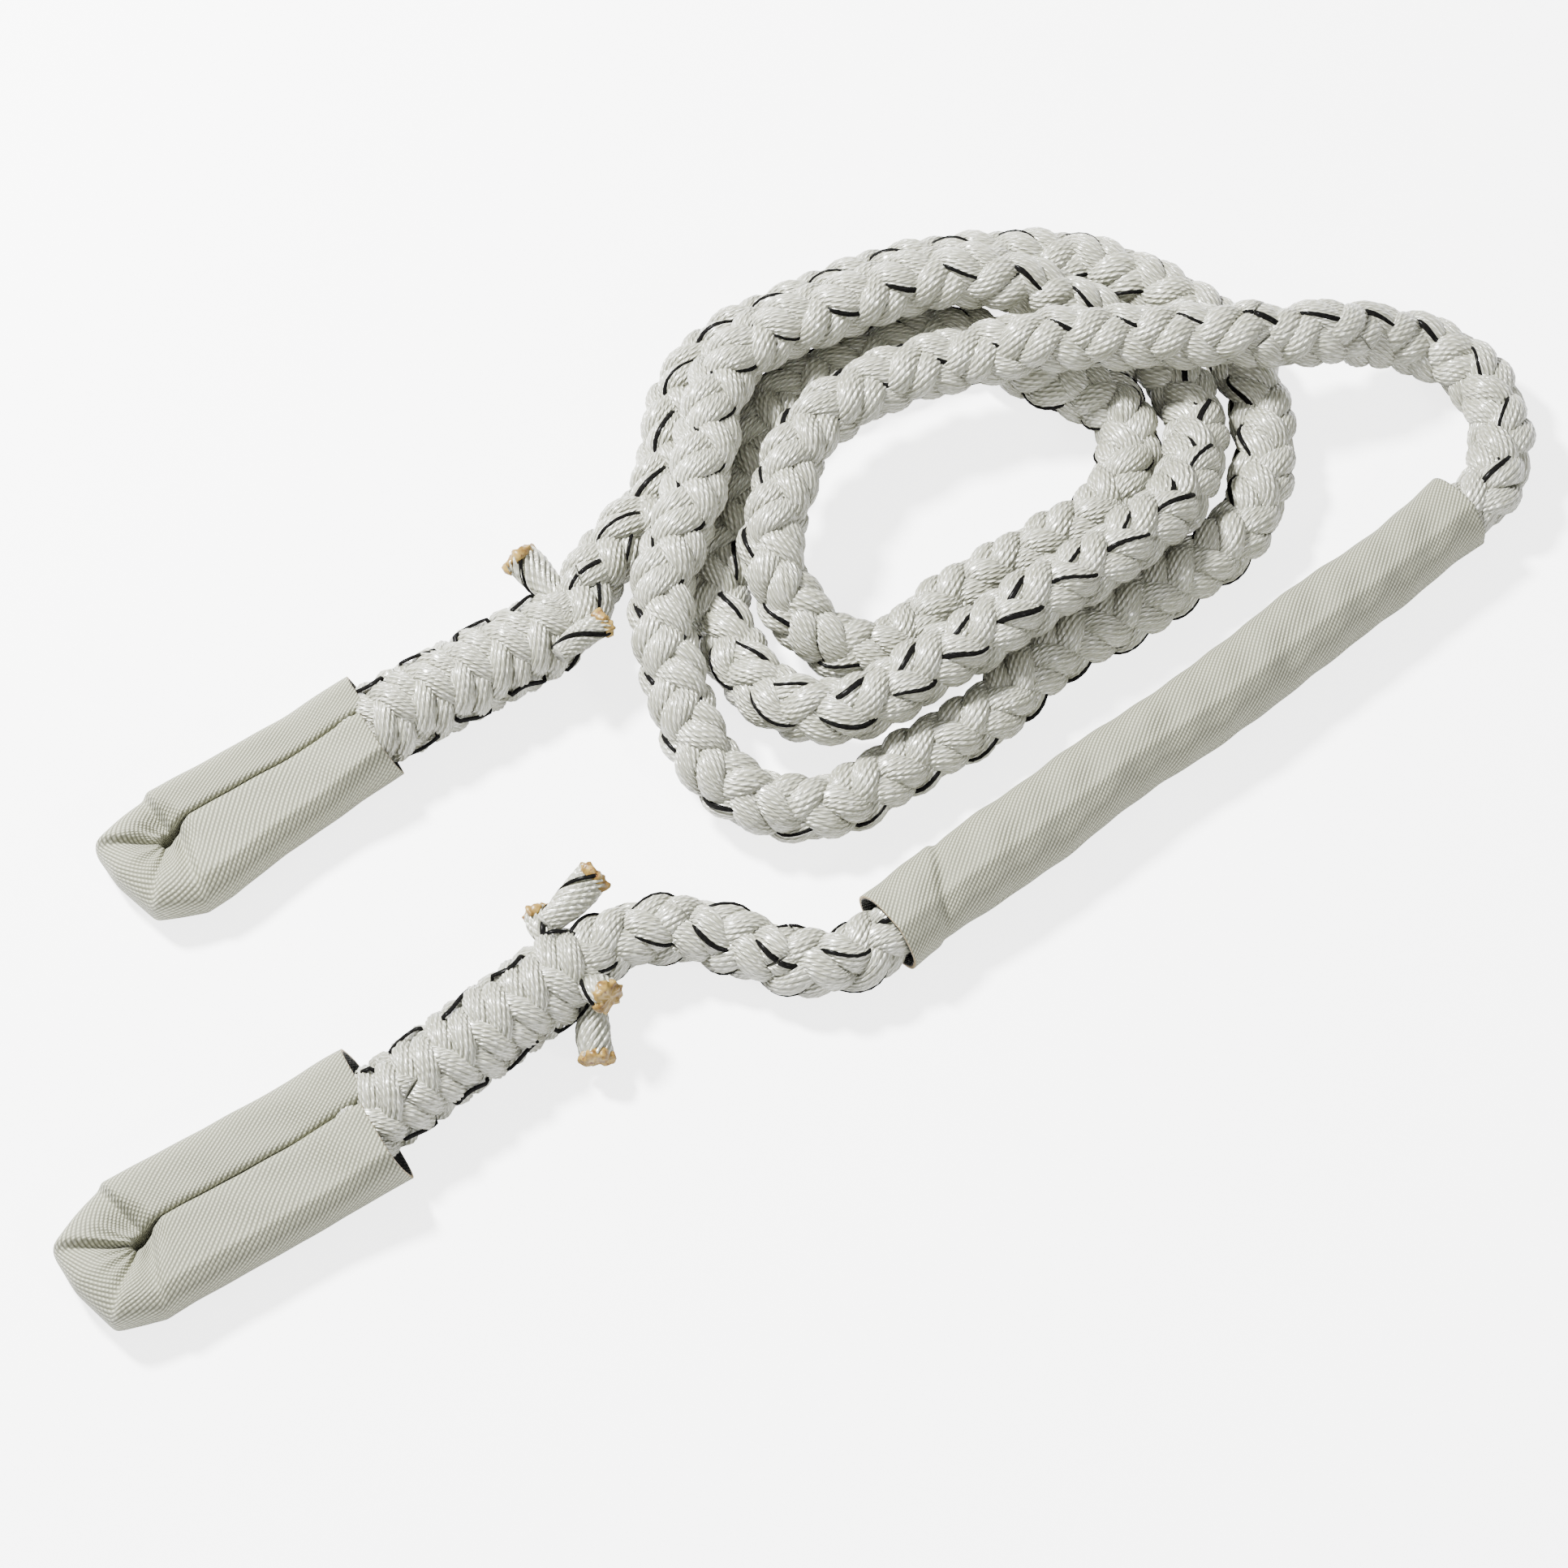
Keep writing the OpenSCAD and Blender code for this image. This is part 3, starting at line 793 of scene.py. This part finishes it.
def inset_section(section, depth):
    """Sections of shape (n, m, 2) moved inward by a distance."""
    edge = np.roll(section, -1, 1) - np.roll(section, 1, 1)
    normal = unit(np.stack([edge[..., 1], -edge[..., 0]], -1))
    return section - normal * depth


def shell(name, place, section, lengths, depths, fabric):
    """A closed sheet of cloth: sections moved inward by two depths and joined by a cut edge at both mouths.
    place turns sections of shape (n, m, 2) into points."""
    n, m, _ = section.shape
    points = np.concatenate([place(inset_section(section, depth)).reshape(-1, 3) for depth in depths])
    middle = section[n // 2]
    girth = measured(np.concatenate([middle, middle[:1]]))
    side, uv = side_faces(n, m), side_uvs(lengths, girth)
    column = np.arange(m)
    rims = []
    for ring, flip in ((0, 1), (n - 1, -1)):
        a, b = ring * m + column, ring * m + (column + 1) % m
        rims.append(np.stack([b, a, a + n * m, b + n * m], -1)[:, ::flip])
    none, thick = np.zeros(m), np.full(m, FABRIC)
    rim_uv = np.stack([girth[1:], none, girth[:-1], none, girth[:-1], thick, girth[1:], thick], -1)
    rim_uv = rim_uv.reshape(-1, 4, 2)
    faces = [np.concatenate([side, side[:, ::-1] + n * m] + rims)]
    uvs = np.concatenate([uv, uv[:, ::-1], rim_uv, rim_uv])
    slots = np.concatenate([np.zeros(2 * len(side)), np.ones(2 * m)])
    edge = EDGE if fabric is SLEEVE else fabric
    return new_piece(name, points, faces, [fabric, edge], uvs.reshape(-1, 2), slots)


def ripple(u, v, seed):
    """Gentle unevenness of hand-pushed cloth, from -1 to 1."""
    total = 0
    for k, (along, round_it) in enumerate(RIPPLES):
        total = total + np.sin(2 * math.pi * (u / (along * MM) + v / (round_it * MM)) + seed * (k + 1.7))
    return total / len(RIPPLES)


def sleeve_pair(name, body, nodes, place, section, lengths):
    """A sleeve's woven outside and dark coating, riding on one body and standing for one CAD node each."""
    inside = FABRIC + COATING_GAP
    layers = (("cloth", SLEEVE, "sleeve_fabric", (0.0, FABRIC)),
              ("lining_cloth", LINING, "lining_black", (inside, FABRIC + COATING)))
    for (layer, look, slot, depths), node in zip(layers, nodes):
        piece = shell(f"{name}_{layer}", place, section, lengths, depths, look)
        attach(piece, body)
        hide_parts(node)


def resample(rows, count, softness):
    """Control rows spread evenly along an outline and rounded a little at their corners, the even places, and
    the rows' own places. A place is a length along the middle, or a share of the outer edge's if longer."""
    rows = np.asarray(rows, float)
    middle = (rows[:, 0:2] + rows[:, 2:4]) / 2
    inside = np.linalg.norm(np.diff(middle, axis=0), axis=1)
    outside = np.linalg.norm(np.diff(rows[:, 2:4], axis=0), axis=1)
    marks = np.concatenate([[0], np.cumsum(np.maximum(inside, OUTER_SHARE * outside))])
    even = np.linspace(0, marks[-1], count)
    fine = np.stack([np.interp(even, marks, column) for column in rows.T], -1)
    step = even[1]
    reach = int(4 * softness / step)
    weights = np.exp(-0.5 * (np.arange(-reach, reach + 1) * step / softness) ** 2)
    weights /= weights.sum()
    padded = np.concatenate([2 * fine[:1] - fine[reach:0:-1], fine, 2 * fine[-1:] - fine[-2:-reach - 2:-1]])
    smooth = np.stack([np.convolve(column, weights, "valid") for column in padded.T], -1)
    return smooth, even, marks


def folded(even, marks, rows):
    """How far the cloth is tucked down round an eye: a sharp drop at each fold and a slow rise."""
    total = np.zeros_like(even)
    for mark, row in zip(marks, rows):
        depth = row[-1]
        ahead = (even - mark) * np.sign(depth)
        total += abs(depth) * np.exp(-np.maximum(ahead, 0) / FOLD_REACH) / (1 + np.exp(-ahead / FOLD_STEP))
    return total


# rows of eye_rows where the bend starts, the lower leg's ridge has died out, and the bend ends
BEND_START, RIDGE_END, BEND_END = 2, 5, 10


def eye_rows(tip, hole, upper, lower, mouth_lower, nose, split):
    """Control rows of an eye sleeve, from its lower mouth round the bend to its upper mouth: [inner along,
    inner across, outer along, outer across, share of the height, fold]. They give where the flat tube's two
    edges are, how high it is, and how deep a fold goes, with a minus where it faces the other way."""
    low, high = split - CREASE, split + CREASE
    return [
        [-2.5 * MM, low, -2.5 * MM, -mouth_lower, 1.0, 0],
        [0.45 * tip, low, 0.42 * tip, -(lower + mouth_lower) / 2, 1.0, 0],
        [hole - 11 * MM, low, tip - 34 * MM, -lower * 0.98, 1.0, 0],
        [hole - 6 * MM, split - 1.5 * MM, tip - 24 * MM, -lower, 1.02, 0.15],
        [hole - 1 * MM, -1.9 * MM, tip - 15 * MM, -(HEEL + lower) / 2, 1.0, 0],
        [hole + 1.4 * MM, -1.7 * MM, tip - 7 * MM, -HEEL, 1.0, 0.17],
        [hole + 2.1 * MM, -0.4 * MM, tip - 1.6 * MM, -0.1 * HEEL, 1.02, 0],
        [hole + 2.0 * MM, 1.2 * MM, tip - 1 * MM, nose, 1.0, -0.24],
        [hole + 0.4 * MM, 2.5 * MM, tip - 12 * MM, (upper + nose) / 2, 1.0, 0],
        [hole - 3 * MM, split - 0.4 * MM, tip - 24.5 * MM, upper, 1.02, -0.3],
        [hole - 10 * MM, high, tip - 31 * MM, upper, 1.0, 0],
        [0.45 * tip, high, 0.45 * tip, upper, 1.0, 0],
        [-5.5 * MM, high, -5.5 * MM, upper, 1.0, 0],
    ]


def eye_section(even, marks, width, tall, seed):
    """Sections of an eye sleeve: soft boxes, ridged along the lower leg and pleated round the opening."""
    plain = round_box(3.0, inner=INNER_SHARPNESS)
    ridged = round_box(2.6, ((60, 0.09, 9),), INNER_SHARPNESS)
    lower_leg = smoothstep((marks[RIDGE_END] - even) / (22 * MM))[:, None, None]
    outline = plain * (1 - lower_leg) + ridged * lower_leg
    x = outline[..., 0] * width[:, None] / 2
    z = (outline[..., 1] + 1) * tall[:, None] / 2
    bend = smoothstep((even - marks[BEND_START]) / (8 * MM)) * smoothstep((marks[BEND_END] - even) / (8 * MM))
    pleat = np.sin(even / (1.15 * MM) + 2.5 * np.sin(even / (9 * MM))) * bend
    near_hole = smoothstep((0.3 - x / width[:, None]) / 0.7)
    z = z * (1 + 0.028 * pleat[:, None] * near_hole - 0.2 * bend[:, None] * near_hole ** 2)
    z = z + 0.4 * MM * ripple(even[:, None], x, seed) * smoothstep(z / (8 * MM))
    return np.stack([x, z], -1)


def eye_bight(side, place, width, tall, even):
    """The rope's bight inside an eye sleeve: its strands, squeezed into the room left."""
    room = np.stack([width, tall], -1) / 2 - FABRIC - COATING
    ring = np.stack([np.cos(circle(BIGHT_SIDES)), np.sin(circle(BIGHT_SIDES))], -1)
    covered = slice(BIGHT_START, -BIGHT_START, 4)
    members = []
    for k in range(2 * WAYS):
        a = 2 * math.pi * (k + 0.5) / (2 * WAYS) + even / (22 * MM)
        middle = np.stack([np.cos(a) * room[:, 0] * 0.62, np.sin(a) * room[:, 1] * 0.58 + tall * 0.47], -1)
        rings = place(middle[:, None] + (room * BIGHT_THICK)[:, None] * ring)
        members.append((rings[covered], even[covered]))
    bight = tubes(f"eye_{side}_bight", members, ROPE)
    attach(bight, f"eye_{side}")
    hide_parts(f"eye_{side}_bight_strands")


def eye_sleeve(side, upper, lower, mouth_lower, nose, hole_back, split):
    """The bent sleeve of one eye and the bight in it, laid out from its mouth towards its tip. upper, lower
    and mouth_lower are how far the legs' outer edges stand from the joint's line, nose is the tip's place
    across, hole_back is how far the small opening is from the tip, and the two legs meet at split."""
    joint = JOINTS[f"eye_{side}_lift"]
    across = np.array(joint["axis"])
    along = np.cross(UP, across)
    mouth = np.array([*joint["pos_m"][:2], 0.0])
    node = f"eye_{side}_sleeve"
    tip = float(((cad_points(node) - mouth) @ along).max())
    rows = eye_rows(tip, tip - hole_back, upper, lower, mouth_lower, nose, split)
    fine, even, marks = resample(rows, ROWS, 0.9 * MM)
    inner, outer = fine[:, 0:2], fine[:, 2:4]
    width = np.linalg.norm(outer - inner, axis=1)
    from_mouth = np.minimum(even, even[-1] - even)
    flare = MOUTH_FLARE * (1 - smoothstep(from_mouth / (30 * MM)))
    slant = MOUTH_SLANT * (1 - smoothstep(from_mouth / (14 * MM)))
    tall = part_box(node)[1].z * fine[:, 4] * (1 - np.minimum(folded(even, marks, rows), DEEPEST_FOLD)) + flare

    def place(flat):
        share = flat[..., 0:1] / width[:, None, None] + 0.5
        plan = inner[:, None] + (outer - inner)[:, None] * share
        plan[..., 0] -= slant[:, None] * (1 - flat[..., 1] / tall[:, None])
        return mouth + plan[..., 0:1] * along + plan[..., 1:2] * across + flat[..., 1:2] * UP

    section = eye_section(even, marks, width, tall, tip * 100)
    sleeve_pair(f"eye_{side}", f"eye_{side}", (node, f"eye_{side}_lining"), place, section, even)
    eye_bight(side, place, width, tall, even)


def long_sleeve():
    """The loose sleeve on the straight run: a flat tube with two ridges and a kink near its lower mouth."""
    origin, slide, across, length, wide, tall = LONG
    even = np.linspace(0, length, LONG_ROWS)
    outline = round_box(2.1, ((112, 0.10, 8), (-62, 0.07, 9)))
    narrow = 1 - 0.1 * smoothstep(even / length) + 0.09 * np.exp(-(length - even) / (8 * MM))
    narrow = narrow + 0.035 * np.sin(even / (23 * MM)) * smoothstep((even - KINK) / (30 * MM))
    x = outline[:, 0] * narrow[:, None] * wide / 2
    z = np.tile(outline[:, 1] * tall / 2, (len(even), 1))
    # the kink: a cuff that stands up, and the cloth tucked in behind it
    past = even[:, None] - KINK - 0.6 * x
    tucked = np.exp(-np.maximum(past, 0) / (9 * MM)) / (1 + np.exp(-past / (0.7 * MM)))
    girth = np.arctan2(z, x) * 14 * MM
    top = smoothstep(z / (tall * 0.3) + 0.4)
    z = z - 3.0 * MM * tucked * top + 0.8 * MM * ripple(even[:, None], girth, 2.4) * top
    x = x * (1 - 0.1 * tucked) * (1 + 0.03 * ripple(even[:, None], girth, 0.6))
    x = x + (1.0 * MM * np.sin(even / (38 * MM) + 0.6) + 0.5 * MM * np.sin(even / (13 * MM)))[:, None]

    def place(flat):
        return origin + even[:, None, None] * slide + flat[..., 0:1] * across + flat[..., 1:2] * UP

    section = np.stack([x, z + tall / 2], -1)
    sleeve_pair("long_sleeve", "long_sleeve", ("long_sleeve", "long_sleeve_lining"), place, section, even)


eye_sleeve("a", upper=19.2 * MM, lower=27 * MM, mouth_lower=17.5 * MM, nose=12.6 * MM, hole_back=23 * MM,
           split=3.2 * MM)
eye_sleeve("b", upper=25 * MM, lower=25 * MM, mouth_lower=23.3 * MM, nose=13.5 * MM, hole_back=26.5 * MM,
           split=3.2 * MM)
long_sleeve()


# ---------------------------------------------------------------- tail ends of the splices
def solids(node):
    """Corner points of each separate solid in a CAD node."""
    mesh = welded(node)
    left, found = set(mesh.verts), []
    while left:
        group, edge = set(), [min(left, key=lambda v: v.index)]
        while edge:
            v = edge.pop()
            if v in left:
                left.discard(v)
                group.add(v)
                edge += [e.other_vert(v) for e in v.link_edges]
        found.append(np.array([v.co for v in sorted(group, key=lambda v: v.index)]))
    mesh.free()
    return found


def stub_axes(side):
    """Root, direction, length and radius of each tail end of a splice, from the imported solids."""
    tips = [t.mean(0) for t in solids(f"splice_{side}_melted_tips")]
    rows = []
    for stub in solids(f"splice_{side}_tail_stubs"):
        middle = stub.mean(0)
        tip = min(tips, key=lambda t: np.linalg.norm(t - middle))
        way = unit(tip - middle)
        reach = (stub - middle) @ way
        radius = np.linalg.norm((stub - middle) - reach[:, None] * way, axis=1).max()
        rows.append((middle + way * reach.min(), way, np.ptp(reach), radius))
    return rows


def tail_end(root, way, length, radius, turn):
    """A cut strand end and a dark yarn on it: rings and lengths of both, then the middle, radius and two
    sideways directions of its cut face."""
    t = np.linspace(0, 1, TAIL_RINGS)
    side = unit(np.cross(way, [0.3, 0.2, 1.0]))
    over = np.cross(way, side)
    sag = side * math.cos(turn) + over * math.sin(turn)
    run = (length + TAIL_BURY) * t
    line = root + way * (run[:, None] - TAIL_BURY) + sag * (radius * 0.2 * np.sin(math.pi * t))[:, None]
    size = radius * (0.74 + 0.30 * np.sin(math.pi * np.clip(t * 0.8, 0, 1)) ** 1.3 + 0.12 * t ** 3)
    a = circle(STRAND_COLUMNS) + TAIL_TWIST * run[:, None] + turn
    shape = 1 + 2.2 * (YARN_SHAPE - 1) + 0.05 * np.sin(3 * a + 4 * turn)
    x, y = np.cos(a) * shape * size[:, None], np.sin(a) * shape * size[:, None] * TAIL_FLAT
    rings = line[:, None] + x[..., None] * side + y[..., None] * over
    b = TAIL_TWIST * run + turn + 0.7
    middle = line + (np.cos(b) * size)[:, None] * side + (np.sin(b) * size * TAIL_FLAT)[:, None] * over
    normal = unit(middle - line)
    dark = yarn_rings(middle, normal, np.cross(way, normal))
    return (rings, run), (dark, run), line[-1], size[-1], side, over


# a melted cap from its rim to its middle: [height over the cut face in mm, share of the radius]
CAP_PROFILE = [
    (-2.2, 1.0), (-1.2, 1.08), (-0.1, 1.14), (0.8, 1.08), (1.4, 0.92), (1.7, 0.68), (1.5, 0.40), (1.8, 0.15),
]
CAP_COLUMNS = 48


def melted_cap(centre, way, side, over, radius, seed):
    """Rings of a lumpy melted cap over a strand's cut face."""
    phase = np.random.default_rng(seed).uniform(0, 2 * math.pi, 6)
    a = circle(CAP_COLUMNS)
    rim = 1 + 0.10 * np.sin(3 * a + phase[0])
    rim = rim + 0.08 * np.sin(7 * a + phase[1]) + 0.05 * np.sin(13 * a + phase[2])
    rings = []
    for k, (rise, share) in enumerate(CAP_PROFILE):
        lump = 0.7 * np.sin(4 * a + phase[3] + k) + 0.5 * np.sin(9 * a + phase[4] - 1.3 * k)
        r = radius * share * rim
        up = (rise + lump * share * 0.7) * MM
        flat = (np.cos(a) * r)[:, None] * side + (np.sin(a) * r * TAIL_FLAT)[:, None] * over
        rings.append(centre + flat + up[:, None] * way)
    return np.array(rings), np.arange(len(CAP_PROFILE)) * MM


def tail_ends(side):
    """The cut strand ends of one splice, with their dark yarns and melted caps."""
    bundles, darks, caps = [], [], []
    for k, (root, way, length, radius) in enumerate(stub_axes(side)):
        bundle, dark, end, size, x, y = tail_end(root, way, length, radius, 0.9 + 1.7 * k)
        bundles.append(bundle)
        darks.append(dark)
        caps.append(melted_cap(end, way, x, y, size, 11 + k))
    pieces = ((f"splice_{side}_tail_ends", bundles, ROPE, "strand_white", "tail_stubs"),
              (f"splice_{side}_tail_yarns", darks, BLACK, "tracer_black", None),
              (f"splice_{side}_amber_tips", caps, AMBER, "melted_tip", "melted_tips"))
    for name, members, look, slot, node in pieces:
        piece = tubes(name, members, look)
        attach(piece, f"splice_{side}")
        if node:
            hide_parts(f"splice_{side}_{node}")


tail_ends("a")
tail_ends("b")

# ---------------------------------------------------------------- stage, light and camera
FLOOR_SIZE = 8.0
FLOOR_DROP = 0.3 * MM
CAMERA_TARGET = Vector((-0.0145, -0.0080, 0.0))
CAMERA_DISTANCE = 1.512
CAMERA_TILT = math.radians(65)
CAMERA_LENS = 100.6          # millimetres, on a film 36 wide
WORLD_LIGHT = 0.52

bpy.ops.mesh.primitive_plane_add(size=FLOOR_SIZE, location=(0, 0, -FLOOR_DROP))
floor = bpy.context.object
floor.name = "floor"
floor.data.materials.append(floor_material())


def area_light(name, place, size, power):
    data = bpy.data.lights.new(name, "AREA")
    data.shape = "DISK"
    data.size = size
    data.energy = power
    light = bpy.data.objects.new(name, data)
    light.location = place
    light.rotation_euler = (CAMERA_TARGET - Vector(place)).to_track_quat("-Z", "Y").to_euler()
    bpy.context.scene.collection.objects.link(light)


area_light("key", (-0.75, 0.55, 1.15), 0.22, 100.0)
area_light("fill", (0.9, -0.9, 1.1), 0.3, 12.0)
world = bpy.data.worlds.new("studio")
world.use_nodes = True
background = world.node_tree.nodes["Background"]
background.inputs["Color"].default_value = (1.0, 1.0, 1.0, 1.0)
background.inputs["Strength"].default_value = WORLD_LIGHT
bpy.context.scene.world = world

camera = bpy.data.objects.new("camera", bpy.data.cameras.new("camera"))
camera.data.lens = CAMERA_LENS
camera.data.sensor_width = 36.0
camera.data.clip_start = 0.05
back = Vector((0.0, -math.cos(CAMERA_TILT), math.sin(CAMERA_TILT)))
camera.location = CAMERA_TARGET + back * CAMERA_DISTANCE
camera.rotation_euler = (math.radians(90) - CAMERA_TILT, 0.0, 0.0)
bpy.context.scene.collection.objects.link(camera)
bpy.context.scene.camera = camera
